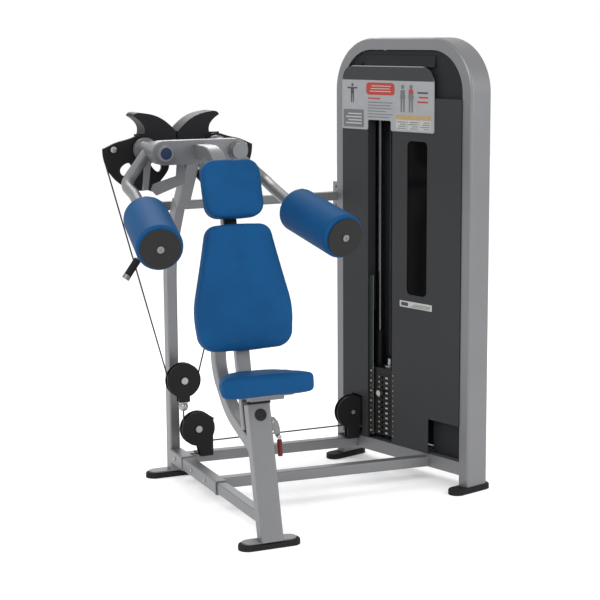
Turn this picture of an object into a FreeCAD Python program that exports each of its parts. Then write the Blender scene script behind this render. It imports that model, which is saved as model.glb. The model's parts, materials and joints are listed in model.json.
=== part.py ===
import FreeCAD, Part
import math
import os

# Seated deltoid raise machine with weight tower, in millimetres.
# +Z is up, the user faces -Y, the tower stands on the +X side.
# The origin is on the floor at the centre of the front foot.

V = FreeCAD.Vector
os.makedirs("parts", exist_ok=True)

# ---- driving dimensions ----
FOOT_LEN = 220.0
FOOT_WID = 68.0
BOOT_H = 20.0
PLATE_T = 5.0
WALL = 3.0

POST_W = 80.0
POST_D = 50.0
POST_LEAN = 13.9
POST_Y = -12.0
POST_TOP_Z = 466.0
POST_BASE_Z = BOOT_H + PLATE_T

UPRIGHT_Y = 962.0
REAR_FOOT_BACK = 8.0
UPRIGHT_W = 40.0
UPRIGHT_D = 50.0

PIVOT_X = 139.0
PIVOT_Z = 1276.0
AXLE_R = 12.5
AXLE_CLEAR = 0.05
CAM_Y = 836.0
CAM_R = 150.0
CAM_T = 12.0
CABLE_R = 3.0
GROOVE_CLEAR = 0.05

BLOCK_Z = 401.0
PULLEY_GROOVE = 54.0
PULLEY_R = 60.0
GUARD_R = 66.0
LOWER_X = PULLEY_GROOVE
LOWER_Z = 209.0
BASE_PULLEY_X = 702.0

TOWER_X = 943.3
TOWER_Y = 310.9
TOWER_TURN = 16.5
TOWER_H = 1670.0
ARCH_IN = 45.0
ARCH_D = 104.0
ARCH_U0 = -39.0
ARCH_U1 = 693.0
ARCH_R = 200.0

STACK_U = 434.0
STACK_W = 180.0
STACK_D = 84.0
PLATE_PITCH = 20.0
PLATE_COUNT = 12
STACK_Z0 = 132.0
ROD_OFFSET = 58.0
ROD_R = 10.0
SLIDE_CLEAR = 0.1

ROLLER_FRONT = V(328.5, 93.3, 1007.8)
ROLLER_BACK = V(278.7, 391.1, 1080.4)
ROLLER_R = 79.6
ROLLER_CAP_R = 68.2


# ---- helpers ----
nodes = {}


def save(name, shape):
    # Pieces saved under one name become one node made of separate solids.
    nodes.setdefault(name, []).append(shape)


def box(x0, x1, y0, y1, z0, z1):
    return Part.makeBox(x1 - x0, y1 - y0, z1 - z0, V(x0, y0, z0))


def rod(p, q, r):
    axis = q - p
    return Part.makeCylinder(r, axis.Length, p, axis)


def ring(p, q, r_out, r_in):
    return rod(p, q, r_out).cut(rod(p, q, r_in))


def join(shapes):
    out = shapes[0]
    for s in shapes[1:]:
        out = out.fuse(s)
    return out.removeSplitter()


def group(shapes):
    return Part.makeCompound(shapes)


def mirror_x(shape):
    return shape.mirror(V(0, 0, 0), V(1, 0, 0))


def frame_place(origin, xdir, zdir):
    ydir = zdir.cross(xdir)
    turn = FreeCAD.Rotation(xdir, ydir, zdir, "ZXY")
    return FreeCAD.Placement(origin, turn)


def round_rect_wire(w, h, r):
    x = w / 2.0
    y = h / 2.0
    c = r * (1.0 - math.sqrt(0.5))
    pts = [V(x - r, -y, 0), V(x - c, -y + c, 0), V(x, -y + r, 0)]
    pts += [V(x, y - r, 0), V(x - c, y - c, 0), V(x - r, y, 0)]
    pts += [V(-x + r, y, 0), V(-x + c, y - c, 0), V(-x, y - r, 0)]
    pts += [V(-x, -y + r, 0), V(-x + c, -y + c, 0), V(-x + r, -y, 0)]
    edges = []
    for i in range(4):
        a = pts[3 * i]
        b = pts[3 * i + 1]
        d = pts[3 * i + 2]
        nxt = pts[(3 * i + 3) % 12]
        edges.append(Part.Arc(a, b, d).toShape())
        if (nxt - d).Length > 1e-6:
            edges.append(Part.makeLine(d, nxt))
    return Part.Wire(edges)


def prism(w, h, r, length):
    return Part.Face(round_rect_wire(w, h, r)).extrude(V(0, 0, length))


def straight_tube(p, q, w, h, wall, xdir, r=6.0):
    axis = q - p
    length = axis.Length
    axis.normalize()
    solid = prism(w, h, r, length)
    if wall > 0:
        inner = prism(w - 2 * wall, h - 2 * wall, max(r - wall, 0.8), length)
        solid = solid.cut(inner)
    solid.Placement = frame_place(p, xdir, axis)
    return solid


def solid_bar(p, q, w, h, xdir, r=6.0):
    return straight_tube(p, q, w, h, 0, xdir, r)


def path_wire(pts, radii):
    edges = []
    start = pts[0]
    for i in range(1, len(pts) - 1):
        a = (pts[i - 1] - pts[i]).normalize()
        b = (pts[i + 1] - pts[i]).normalize()
        half = a.getAngle(b) / 2.0
        reach = radii[i - 1] / math.tan(half)
        t0 = pts[i] + a * reach
        t1 = pts[i] + b * reach
        mid_dir = (a + b).normalize()
        centre = pts[i] + mid_dir * (radii[i - 1] / math.sin(half))
        mid = centre - mid_dir * radii[i - 1]
        if (t0 - start).Length > 1e-4:
            edges.append(Part.makeLine(start, t0))
        edges.append(Part.Arc(t0, mid, t1).toShape())
        start = t1
    if (pts[-1] - start).Length > 1e-4:
        edges.append(Part.makeLine(start, pts[-1]))
    return Part.Wire(edges)


def sweep(wire, profile, binormal=None):
    shell = Part.BRepOffsetAPI.MakePipeShell(wire)
    if binormal is not None:
        shell.setBiNormalMode(binormal)
    shell.add(profile)
    shell.build()
    shell.makeSolid()
    return shell.shape()


def bent_tube(pts, radii, w, h, wall, normal, r=6.0):
    # The bend lies in the plane whose normal is given; w is measured along that normal.
    wire = path_wire(pts, radii)
    axis = (pts[1] - pts[0]).normalize()
    outer = round_rect_wire(w, h, r)
    outer.Placement = frame_place(pts[0], normal, axis)
    solid = sweep(wire, outer, normal)
    if wall > 0:
        inner = round_rect_wire(w - 2 * wall, h - 2 * wall, max(r - wall, 0.8))
        inner.Placement = frame_place(pts[0], normal, axis)
        solid = solid.cut(sweep(wire, inner, normal))
    return solid


def round_path(pts, radii, r, r_in=0.0):
    wire = path_wire(pts, radii)
    axis = (pts[1] - pts[0]).normalize()
    solid = sweep(wire, Part.Wire([Part.makeCircle(r, pts[0], axis)]))
    if r_in > 0:
        solid = solid.cut(sweep(wire, Part.Wire([Part.makeCircle(r_in, pts[0], axis)])))
    return solid


def oblong(cx, cy, length, width, z0, height, along_x=True):
    r = width / 2.0 - 0.01
    if along_x:
        shape = prism(length, width, r, height)
    else:
        shape = prism(width, length, r, height)
    shape.translate(V(cx, cy, z0))
    return shape


def soften_top(shape, z, r):
    edges = [e for e in shape.Edges if abs(e.BoundBox.ZMin - z) < 1e-4 and abs(e.BoundBox.ZMax - z) < 1e-4]
    return shape.makeFillet(r, edges)


def soften_rims(shape, r):
    return shape.makeFillet(r, [e for e in shape.Edges if e.BoundBox.ZLength < 0.01])


def closed_outline(corners):
    # Corners are (x, y, radius); the sides join tangent arcs.
    count = len(corners)
    joints = []
    for i in range(count):
        here = V(corners[i][0], corners[i][1], 0)
        before = V(corners[i - 1][0], corners[i - 1][1], 0)
        after = V(corners[(i + 1) % count][0], corners[(i + 1) % count][1], 0)
        a = (before - here).normalize()
        b = (after - here).normalize()
        half = a.getAngle(b) / 2.0
        reach = corners[i][2] / math.tan(half)
        bisector = (a + b).normalize()
        mid = here + bisector * (corners[i][2] / math.sin(half) - corners[i][2])
        joints.append((here + a * reach, mid, here + b * reach))
    edges = []
    for i in range(count):
        t0, mid, t1 = joints[i]
        edges.append(Part.Arc(t0, mid, t1).toShape())
        nxt = joints[(i + 1) % count][0]
        if (nxt - t1).Length > 1e-3:
            edges.append(Part.makeLine(t1, nxt))
    return Part.Wire(edges)


def soften_all(shape, r):
    return shape.makeFillet(r, shape.Edges)


def plane_shape(pts, y0, y1):
    # A closed outline in X and Z, made solid between two Y positions.
    corners = [V(x, y0, z) for x, z in pts]
    corners.append(corners[0])
    return Part.Face(Part.makePolygon(corners)).extrude(V(0, y1 - y0, 0))


def smooth_shape(pts, y0, y1):
    curve = Part.BSplineCurve()
    curve.interpolate([V(x, y0, z) for x, z in pts], PeriodicFlag=True)
    return Part.Face(Part.Wire([curve.toShape()])).extrude(V(0, y1 - y0, 0))


def bolt(p, outward, head_r, head_h):
    # A round head with a hexagon socket.
    axis = V(outward)
    axis.normalize()
    head = Part.makeCylinder(head_r, head_h, p, axis)
    socket = Part.makeCylinder(head_r * 0.45, head_h * 0.6, p + axis * (head_h * 0.5), axis)
    return head.cut(socket)


def pulley(centre, groove, outer, width, bore, axis):
    axis = V(axis)
    axis.normalize()
    side = axis * (width / 2.0)
    wheel = rod(centre - side, centre + side, outer)
    waist = axis * (CABLE_R + 0.2)
    cutter = ring(centre - waist, centre + waist, outer + 5.0, groove - CABLE_R - GROOVE_CLEAR)
    wheel = wheel.cut(cutter)
    return wheel.cut(rod(centre - side, centre + side, bore))


# ---- frame of the seat unit ----
UP = V(0, 0, 1)
ACROSS = V(1, 0, 0)
DEPTH = V(0, 1, 0)
lean = math.radians(POST_LEAN)
post_axis = V(0, math.sin(lean), math.cos(lean))


def post_point(z):
    return V(0, POST_Y + (z - POST_BASE_Z) * math.tan(lean), z)


front_boot = soften_top(oblong(0, 0, FOOT_LEN, FOOT_WID, 0, BOOT_H), BOOT_H, 6.0)
save("foot_boots", front_boot)
front_plate = oblong(0, 0, FOOT_LEN - 26, FOOT_WID - 16, BOOT_H, PLATE_T)
save("frame_plates", front_plate)

post_start = post_point(POST_BASE_Z) - post_axis * 20
post_end = post_point(POST_TOP_Z)
post_outer = solid_bar(post_start, post_end, POST_W, POST_D, ACROSS, 9.0)
post_bore = solid_bar(post_start, post_end, POST_W - 2 * WALL, POST_D - 2 * WALL, ACROSS, 6.0)
below = box(-200, 200, -200, 200, -50, POST_BASE_Z)
post_outer = post_outer.cut(below)
post = post_outer.cut(post_bore)
save("seat_post", post)

# ---- seat stem, guide bush, pan and cushion ----
STEM_W = 60.0
STEM_D = 32.0
BUSH_IN = 70.0
BUSH_H = 10.0
STEM_REACH = 240.0
bush_top = post_end + post_axis * BUSH_H
bush_low = post_end - post_axis * BUSH_IN
bush_cap = solid_bar(post_end, bush_top, POST_W + 5, POST_D + 5, ACROSS, 9.0)
bush_plug = solid_bar(bush_low, post_end, POST_W - 2 * WALL, POST_D - 2 * WALL, ACROSS, 6.0)
stem_hole = solid_bar(bush_low, bush_top, STEM_W + 2 * SLIDE_CLEAR, STEM_D + 2 * SLIDE_CLEAR, ACROSS, 4.0)
save("seat_guide_bush", join([bush_cap, bush_plug]).cut(stem_hole))

PAN_Z = 506.0
SEAT_SLOPE = 6.0
SEAT_Y = 62.0
slope = math.radians(SEAT_SLOPE)
seat_normal = V(0, math.sin(slope), math.cos(slope))
seat_origin = V(0, SEAT_Y, PAN_Z)
seat_frame = frame_place(seat_origin, ACROSS, seat_normal)
pan = prism(190, 170, 30, 5)
pan = join([pan, box(-60, 60, -60, -55, -14, 2), box(-60, 60, 55, 60, -14, 2)])
pan.Placement = seat_frame
stem_low = post_end - post_axis * STEM_REACH
stem_far = post_end + post_axis * 80
stem = straight_tube(stem_low, stem_far, STEM_W, STEM_D, WALL, ACROSS, 4.0)
above_pan = box(-300, 300, -300, 300, 0, 300)
above_pan.Placement = seat_frame
stem = stem.cut(above_pan)
save("seat_stem", join([stem, pan]))

CUSHION_T = 64.0
CUSHION_W = 352.0
seat_outline = [(-178, -98, 32), (0, -110, 600), (178, -98, 32), (128, 52, 110), (72, 118, 70)]
seat_outline += [(-72, 118, 70), (-128, 52, 110)]
cushion = Part.Face(closed_outline(seat_outline)).extrude(V(0, 0, CUSHION_T))
cushion = soften_rims(cushion, 14.0)
cushion.translate(V(0, 0, 5.2))
cushion.Placement = seat_frame.multiply(cushion.Placement)
save("seat_cushion", cushion)

# ---- seat lever on the +X side of the post ----
LEVER_Z = 352.0
fin_y = post_point(385.0).y
side = POST_W / 2.0
fin_pts = [(side, 424), (side + 14, 420), (side + 27, 404), (side + 34, 380), (side + 35, 350), (side + 27, 344.5)]
fin_pts += [(side + 20, 352), (side + 12, 372), (side, 380)]
fin = plane_shape(fin_pts, fin_y - 3, fin_y + 3)
lever_pin = V(side + 29, 0, LEVER_Z)
fin = fin.cut(rod(lever_pin + V(0, fin_y - 3, 0), lever_pin + V(0, fin_y + 3, 0), 3.05))
save("frame_plates", fin)
save("bolts", bolt(V(side + 8, fin_y - 3, 406), V(0, -1, 0), 4.5, 2.5))
lever_eye = rod(lever_pin + V(0, fin_y - 11, 0), lever_pin + V(0, fin_y - 3.4, 0), 7.5)
lever_stud = rod(lever_pin + V(0, fin_y - 4, 0), lever_pin + V(0, fin_y + 6, 0), 3.0)
lever_arm = rod(lever_pin + V(0.16, fin_y - 7.2, -4), lever_pin + V(2, fin_y - 7.2, -50), 3.4)
save("seat_lever", join([lever_eye, lever_stud, lever_arm]))
grip_top = lever_pin + V(0.6, fin_y - 7.2, -9)
grip = rod(grip_top, grip_top + V(3, 0, -58), 8.5)
grip = grip.makeFillet(3.5, [e for e in grip.Edges if e.Closed])
grip = grip.cut(rod(lever_pin + V(0.16, fin_y - 7.2, -4), lever_pin + V(2, fin_y - 7.2, -50), 3.4)).cut(lever_eye)
save("seat_lever_grip", sorted(grip.Solids, key=lambda g: -g.Volume)[0])

# ---- round guide disc on the front face of the post ----
disc_c = post_point(436.0) - V(0, POST_D / 2.0 / math.cos(lean), 0)
front_dir = V(0, -math.cos(lean), math.sin(lean))
disc = Part.makeCylinder(20.5, 4.0, disc_c, front_dir)
save("post_disc", soften_all(disc, 1.0))
screws = []
for ang in (90, 210, 330):
    offset = ACROSS * (12 * math.cos(math.radians(ang))) + post_axis * (12 * math.sin(math.radians(ang)))
    screws.append(bolt(disc_c + front_dir * 4.0 + offset, front_dir, 2.6, 1.4))
save("post_disc", group(screws))

# ---- base tube, sleeve, upright and tie beams ----
BASE_Z = 85.0
BASE_W = 38.0
BASE_H = 42.0
SEAM_Y = 452.0
SLEEVE_W = 44.0
SLEEVE_H = 48.0
upright_front = UPRIGHT_Y - UPRIGHT_D / 2.0
base_tube = straight_tube(V(0, -20, BASE_Z), V(0, SEAM_Y + 90, BASE_Z), BASE_W, BASE_H, WALL, ACROSS)
base_tube = base_tube.cut(post_outer)
base_tube = base_tube.cut(box(-100, 100, -100, -14, 0, 200))
save("base_tube", base_tube)

ring_len = 12.0
sleeve = straight_tube(V(0, SEAM_Y, BASE_Z), V(0, upright_front, BASE_Z), SLEEVE_W, SLEEVE_H, WALL, ACROSS)
collar = straight_tube(V(0, SEAM_Y - ring_len, BASE_Z), V(0, SEAM_Y, BASE_Z), SLEEVE_W + 4, SLEEVE_H + 4,
                       5.0, ACROSS)
save("base_sleeve", sleeve)
save("base_sleeve", collar)
socket_tube = straight_tube(V(0, 800, BASE_Z), V(0, upright_front, BASE_Z), SLEEVE_W + 6, SLEEVE_H + 6,
                            3.0, ACROSS)
save("base_sleeve", socket_tube)

UP_BEND_Z = 870.0
UP_TOP_Z = 1076.0
UP_LEAN = 30.0
up_l = math.radians(UP_LEAN)
up_end = V(0, UPRIGHT_Y - (UP_TOP_Z - UP_BEND_Z) * math.tan(up_l), UP_TOP_Z)
up_pts = [V(0, UPRIGHT_Y, POST_BASE_Z), V(0, UPRIGHT_Y, UP_BEND_Z), up_end]
upright = bent_tube(up_pts, [400], UPRIGHT_W, UPRIGHT_D, WALL, ACROSS)
upright_solid = bent_tube(up_pts, [400], UPRIGHT_W, UPRIGHT_D, 0, ACROSS)
save("rear_upright", upright)
rear_boot = soften_top(oblong(0, UPRIGHT_Y + REAR_FOOT_BACK, FOOT_LEN, FOOT_WID, 0, BOOT_H), BOOT_H, 6.0)
save("foot_boots", rear_boot)
save("frame_plates", oblong(0, UPRIGHT_Y + REAR_FOOT_BACK, FOOT_LEN - 26, FOOT_WID - 16, BOOT_H, PLATE_T))

TIE_TURN = 3.5
tie_dir = V(math.cos(math.radians(TIE_TURN)), -math.sin(math.radians(TIE_TURN)), 0)


def tower(shape):
    shape.rotate(V(0, 0, 0), V(0, 0, 1), TOWER_TURN)
    shape.translate(V(TOWER_X, TOWER_Y, 0))
    return shape


TIE = 40.0
TIE_Z = 80.0
BASE_MEMBER_V0 = -52.0
BASE_MEMBER_V1 = -12.0
base_member = tower(box(BASE_MEMBER_V0, BASE_MEMBER_V1, ARCH_U0 + ARCH_IN, ARCH_U1 - ARCH_IN, 60, 110))
sleeve_block = solid_bar(V(0, SEAM_Y, BASE_Z), V(0, upright_front, BASE_Z), SLEEVE_W, SLEEVE_H, ACROSS)
socket_block = solid_bar(V(0, 800, BASE_Z), V(0, upright_front, BASE_Z), SLEEVE_W + 6, SLEEVE_H + 6, ACROSS)
front_tie_in = V(0, 527, TIE_Z)
front_tie = straight_tube(front_tie_in, front_tie_in + tie_dir * 930, TIE, TIE, WALL, DEPTH)
member_line = tower(box(BASE_MEMBER_V0, 400, -600, 1200, 0, 300))
front_tie = front_tie.cut(sleeve_block).cut(member_line)
front_tie = front_tie.cut(box(-60, 21, 400, 700, 0, 200))
save("tie_beams", front_tie)
rear_tie_in = V(0, 906, TIE_Z)
rear_tie = straight_tube(rear_tie_in, rear_tie_in + tie_dir * 900, TIE, TIE, WALL, DEPTH)
rear_tie = rear_tie.cut(socket_block).cut(member_line)
rear_tie = rear_tie.cut(box(-60, 24, 800, 1000, 0, 200))
save("tie_beams", rear_tie)

UPPER_TIE_Z = 1053.0
upper_a = V(-46, 934, UPPER_TIE_Z)
upper_b = V(702, 974, UPPER_TIE_Z)
upper_tie = straight_tube(upper_a, upper_b, 34, 40, WALL, UP)
upper_tie = upper_tie.cut(upright_solid)
flange_dir = (upper_b - upper_a).normalize()
flange_x = V(flange_dir.y, -flange_dir.x, 0)
flange = solid_bar(upper_b, upper_b + flange_dir * 8, 46, 112, flange_x, 3.0)
rear_rail = tower(box(-60, 200, ARCH_U1 - ARCH_IN, ARCH_U1, 0, 1500))
link = solid_bar(upper_b + flange_dir * 8, upper_b + flange_dir * 90, 30, 90, flange_x, 3.0)
save("tie_beams", join([flange, link]).cut(rear_rail).Solids[0])
flange_bolts = []
for dz in (-38, 38):
    flange_bolts.append(bolt(upper_b + V(0, 0, dz) - V(0, 0, 0), flange_dir * -1, 6.5, 5.0))
save("bolts", group(flange_bolts))

# ---- spine, brace and head arm ----
SPINE_W = 50.0
SPINE_D = 30.0
SPINE_LEAN = 14.0
sp = math.radians(SPINE_LEAN)


def spine_y(z):
    return 230.0 + math.tan(sp) * (z - 620.0)


spine_axis = V(0, math.sin(sp), math.cos(sp))
spine_low = V(0, spine_y(362), 362)
spine_high = V(0, spine_y(1232), 1232)
spine = straight_tube(spine_low, spine_high, SPINE_W, SPINE_D, WALL, ACROSS, 5.0)
spine_block = solid_bar(spine_low, spine_high, SPINE_W, SPINE_D, ACROSS, 5.0)
save("back_spine", spine)
brace_pts = [V(0, 60, 298), V(0, 328, 392), V(0, 455, 520), V(0, 452, 800), V(0, 300, 1010)]
brace = bent_tube(brace_pts, [260, 150, 260], 44, 48, WALL, ACROSS)
brace = brace.cut(post_outer).cut(spine_block)
brace = brace.cut(box(-60, 60, -100, 60, 200, 400))
brace_parts = sorted(brace.Solids, key=lambda s: -s.Volume)
save("back_tubes", brace_parts[0])
head_pts = [V(0, 600, 1282), V(0, 452, 1282), V(0, 322, 1120)]
head_arm = bent_tube(head_pts, [130], 50, 46, WALL, ACROSS)
head_arm = head_arm.cut(spine_block)
head_arm = sorted(head_arm.Solids, key=lambda s: -s.Volume)[0]
save("back_tubes", head_arm)
spacers = []
for z in (392.0, 445.0):
    y_post = post_point(z).y + POST_D / 2.0 / math.cos(lean)
    spacer = box(-14, 14, y_post - 20, spine_y(z), z - 7, z + 7)
    spacer = spacer.cut(post_outer).cut(spine_block)
    spacers.append(sorted(spacer.Solids, key=lambda s: -s.BoundBox.YLength)[0])
save("seat_brackets", group(spacers))

# ---- pads ----
def pad_frame(y, z, angle):
    a = math.radians(angle)
    return frame_place(V(0, y, z), ACROSS, V(0, -math.cos(a), math.sin(a)))


PAD_T = 60.0
back_outline = [(-166, -216, 62), (166, -216, 62), (181, -75, 300), (112, 216, 46), (-112, 216, 46)]
back_outline += [(-181, -75, 300)]
back_pad = Part.Face(closed_outline(back_outline)).extrude(V(0, 0, PAD_T))
back_pad = soften_rims(back_pad, 16.0)
back_place = pad_frame(222 + 30, 840, 9.5)
back_pad.Placement = back_place
save("back_pad", back_pad)
HEAD_T = 55.0
head_pad = prism(212, 203, 46, HEAD_T)
head_pad = soften_rims(head_pad, 15.0)
head_place = pad_frame(302 + 27, 1162, 17.0)
head_pad.Placement = head_place
save("head_pad", head_pad)

strip = solid_bar(V(0, spine_y(720) - 19, 720), V(0, spine_y(1220) - 19, 1220), 46, 6, ACROSS, 2.0)
back_block = prism(400, 460, 40, 200)
back_block.Placement = back_place
head_block = prism(260, 240, 40, 200)
head_block.Placement = head_place
save("seat_brackets", strip.cut(back_block).cut(head_block).cut(spine_block).Solids[0])


def pad_bracket(z, width, place_front):
    plate = box(-width / 2.0, width / 2.0, spine_y(z) - 70, spine_y(z), z - 14, z + 14)
    plate = plate.cut(spine_block).cut(place_front).cut(strip)
    return sorted(plate.Solids, key=lambda s: s.BoundBox.YMin)[0]


save("seat_brackets", group([pad_bracket(700, 90, back_block), pad_bracket(960, 90, back_block)]))
save("seat_brackets", pad_bracket(1150, 70, head_block))

# ---- head beam and its fittings ----
BEAM_Y0 = 600.0
BEAM_Y1 = 650.0
BEAM_R = 42.5
beam = box(-PIVOT_X, PIVOT_X, BEAM_Y0, BEAM_Y1, PIVOT_Z - BEAM_R, PIVOT_Z + BEAM_R)
ends = []
for sx in (-1, 1):
    ends.append(rod(V(sx * PIVOT_X, BEAM_Y0, PIVOT_Z), V(sx * PIVOT_X, BEAM_Y1, PIVOT_Z), BEAM_R))
beam = join([beam] + ends)
axle_holes = []
for sx in (-1, 1):
    axle_holes.append(rod(V(sx * PIVOT_X, BEAM_Y0, PIVOT_Z), V(sx * PIVOT_X, BEAM_Y1, PIVOT_Z), AXLE_R))
inside = box(-95, 95, BEAM_Y0 + 5, BEAM_Y1 - 5, PIVOT_Z - 37, PIVOT_Z + 37)
beam = beam.cut(axle_holes[0]).cut(axle_holes[1]).cut(inside)
save("head_beam", beam)

strut_dir = V(0, -math.sin(math.radians(35)), math.cos(math.radians(35)))
strut_low = V(0, 815, 1076)
strut = straight_tube(strut_low, strut_low + strut_dir * 300, 50, 50, WALL, ACROSS)
beam_block = box(-300, 300, 400, BEAM_Y1, 1000, 1500)
above_beam = box(-300, 300, 400, 900, PIVOT_Z + 15, 1600)
strut = strut.cut(beam_block).cut(above_beam).cut(upright_solid)
save("head_strut", sorted(strut.Solids, key=lambda s: -s.Volume)[0])

# ---- stop bracket with two rubber bumpers under the beam ----
bracket_right = [(-26, 1232), (-30, 1158), (-138, 1118), (-158, 1140), (-150, 1160), (-62, 1186), (-58, 1232)]
bracket_l = plane_shape(bracket_right, 690, 696)
tab_l = plane_shape([(-58, 1230), (-26, 1230), (-26, 1233.4), (-58, 1233.4)], BEAM_Y1 - 20, 696)
bracket_l = join([bracket_l, tab_l])
save("head_strut", group([bracket_l, mirror_x(bracket_l)]))
bumper_l = rod(V(-151, 696.2, 1146), V(-151, 716, 1146), 13)
save("rubber_bumpers", group([bumper_l, mirror_x(bumper_l)]))

axles = []
front_collars = []
for sx in (-1, 1):
    axles.append(rod(V(sx * PIVOT_X, BEAM_Y0 - 8, PIVOT_Z), V(sx * PIVOT_X, 866, PIVOT_Z), AXLE_R))
    front_collars.append(ring(V(sx * PIVOT_X, BEAM_Y0 - 8, PIVOT_Z), V(sx * PIVOT_X, BEAM_Y0, PIVOT_Z), 33, AXLE_R))
save("pivot_axles", group(axles))
save("pivot_axles", group(front_collars))
caps = []
inserts = []
for sx in (-1, 1):
    cap = rod(V(sx * PIVOT_X, BEAM_Y0 - 30, PIVOT_Z), V(sx * PIVOT_X, BEAM_Y0 - 8, PIVOT_Z), 28)
    if sx < 0:
        cap = cap.cut(rod(V(sx * PIVOT_X, BEAM_Y0 - 30, PIVOT_Z), V(sx * PIVOT_X, BEAM_Y0 - 24, PIVOT_Z), 21))
        inserts.append(rod(V(sx * PIVOT_X, BEAM_Y0 - 28, PIVOT_Z), V(sx * PIVOT_X, BEAM_Y0 - 24, PIVOT_Z), 20.8))
    caps.append(cap)
save("pivot_axles", group(caps))
save("hub_cap_inserts", group(inserts))

# ---- thin-walled curved covers behind the cams ----
COVER_Y0 = 849.0
COVER_Y1 = 942.0
SKIN_T = 4.0
crown = [(-166, 1393), (-158, 1404), (-130, 1405), (-101, 1400), (-60, 1384), (-30, 1362), (-4, 1336)]
neck = [(-139, 1296), (-128, 1322), (-125, 1348), (-140, 1374)]
crown_in = [(-159, 1393), (-153, 1399.5), (-130, 1401), (-102, 1395.8), (-62, 1380), (-33, 1358.6), (-8, 1334)]
neck_in = [(-133.5, 1280), (-123.6, 1322), (-120.6, 1348), (-135.6, 1376)]


def cover_solid(top, side, low_x, low_z, y0, y1):
    upper = Part.BSplineCurve()
    upper.interpolate([V(x, y0, z) for x, z in top])
    inner = Part.BSplineCurve()
    inner.interpolate([V(x, y0, z) for x, z in side] + [V(top[0][0], y0, top[0][1])])
    corner = V(low_x, y0, low_z)
    down = Part.makeLine(V(top[-1][0], y0, top[-1][1]), corner)
    across = Part.makeLine(corner, V(side[0][0], y0, side[0][1]))
    outline = Part.Wire([upper.toShape(), down, across, inner.toShape()])
    return Part.Face(outline).extrude(V(0, y1 - y0, 0))


cover = cover_solid(crown, neck, -4, 1268, COVER_Y0, COVER_Y1)
cover = cover.cut(cover_solid(crown_in, neck_in, -8, 1240, COVER_Y0 + SKIN_T, COVER_Y1 + 1))
hub_plate = box(-PIVOT_X - 26, -PIVOT_X + 40, COVER_Y0, COVER_Y0 + SKIN_T, PIVOT_Z, 1330)
hub_disc = rod(V(-PIVOT_X, COVER_Y0, PIVOT_Z), V(-PIVOT_X, COVER_Y0 + SKIN_T, PIVOT_Z), 26)
cover = join([cover, hub_plate, hub_disc])
cover = cover.cut(rod(V(-PIVOT_X, 700, PIVOT_Z), V(-PIVOT_X, 1000, PIVOT_Z), AXLE_R))
save("pivot_covers", cover)
save("pivot_covers", mirror_x(cover))

# ---- arms: pivot sleeve, bent tube, cam, roller ----
SLEEVE_R = 36.0
COLLAR_R = 43.0
COLLAR_LEN = 18.0
ARM_R = 21.0
ARM_Y0 = 660.0
ARM_Y1 = 815.0


def at_pivot(y):
    return V(-PIVOT_X, y, PIVOT_Z)


rf = V(-ROLLER_FRONT.x, ROLLER_FRONT.y, ROLLER_FRONT.z)
rb = V(-ROLLER_BACK.x, ROLLER_BACK.y, ROLLER_BACK.z)
roll_axis = (rf - rb).normalize()
ROLLER_BORE = 14.0
arm_end = rb + roll_axis * -6.0
arm_pts = [V(-163, 722, 1266), V(-264, 660, 1166), V(-262, 560, 1138), arm_end]
arm_tube = round_path(arm_pts, [72, 120], ARM_R)
collar_l = rod(at_pivot(ARM_Y1 - COLLAR_LEN), at_pivot(ARM_Y1), COLLAR_R)
sleeve_l = join([rod(at_pivot(ARM_Y0), at_pivot(ARM_Y1), SLEEVE_R), collar_l])
arm = join([arm_tube, sleeve_l])
stop_lug = plane_shape([(-173, 1250), (-184, 1138), (-165.2, 1138), (-151, 1250)], 699, 713)
arm = join([arm, stop_lug])
arm = arm.cut(rod(at_pivot(ARM_Y0), at_pivot(ARM_Y1), AXLE_R + AXLE_CLEAR))
pin_seat = rod(arm_end, arm_end + roll_axis * -40, 8.0)
arm = arm.cut(pin_seat)
# cam: rim from nine o'clock to six, two windows, web round the sleeve
cam_y0 = CAM_Y - CAM_T / 2.0
cam_y1 = CAM_Y + CAM_T / 2.0


def cam_pt(r, deg):
    a = math.radians(deg)
    return V(-PIVOT_X + r * math.cos(a), cam_y0, PIVOT_Z + r * math.sin(a))


rim = Part.Arc(cam_pt(CAM_R, 178), cam_pt(CAM_R, 225), cam_pt(CAM_R, 272)).toShape()
top_curve = Part.BSplineCurve()
top_curve.interpolate([cam_pt(CAM_R, 272), V(-104, cam_y0, 1132), V(-66, cam_y0, 1166), V(-40, cam_y0, 1212),
                       V(-70, cam_y0, 1262), V(-96, cam_y0, 1300), V(-139, cam_y0, 1326), V(-194, cam_y0, 1314),
                       V(-236, cam_y0, 1304), V(-268, cam_y0, 1291), cam_pt(CAM_R, 178)])
cam = Part.Face(Part.Wire([rim, top_curve.toShape()])).extrude(V(0, CAM_T, 0))
window_a = smooth_shape([(-228, 1200), (-212, 1222), (-192, 1226), (-182, 1206), (-200, 1184), (-220, 1184)],
                        cam_y0 - 1, cam_y1 + 1)
window_b = smooth_shape([(-108, 1224), (-84, 1222), (-70, 1212), (-78, 1192), (-96, 1198)], cam_y0 - 1, cam_y1 + 1)
groove = ring(at_pivot(CAM_Y - 3.4), at_pivot(CAM_Y + 3.4), CAM_R + 10, CAM_R - 5.6)
cam = cam.cut(window_a).cut(window_b).cut(groove)
cam = cam.cut(rod(at_pivot(cam_y0), at_pivot(cam_y1), AXLE_R + AXLE_CLEAR))
cam_hub = ring(at_pivot(ARM_Y1), at_pivot(cam_y0), 30, AXLE_R + AXLE_CLEAR)
save("left_cam", cam)
save("right_cam", mirror_x(cam))
anchor = rod(V(-254, cam_y0 - 12, 1278), V(-254, cam_y0, 1278), 12)
save("left_cam", anchor)
save("right_cam", mirror_x(anchor))
axle_nuts = []
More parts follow.
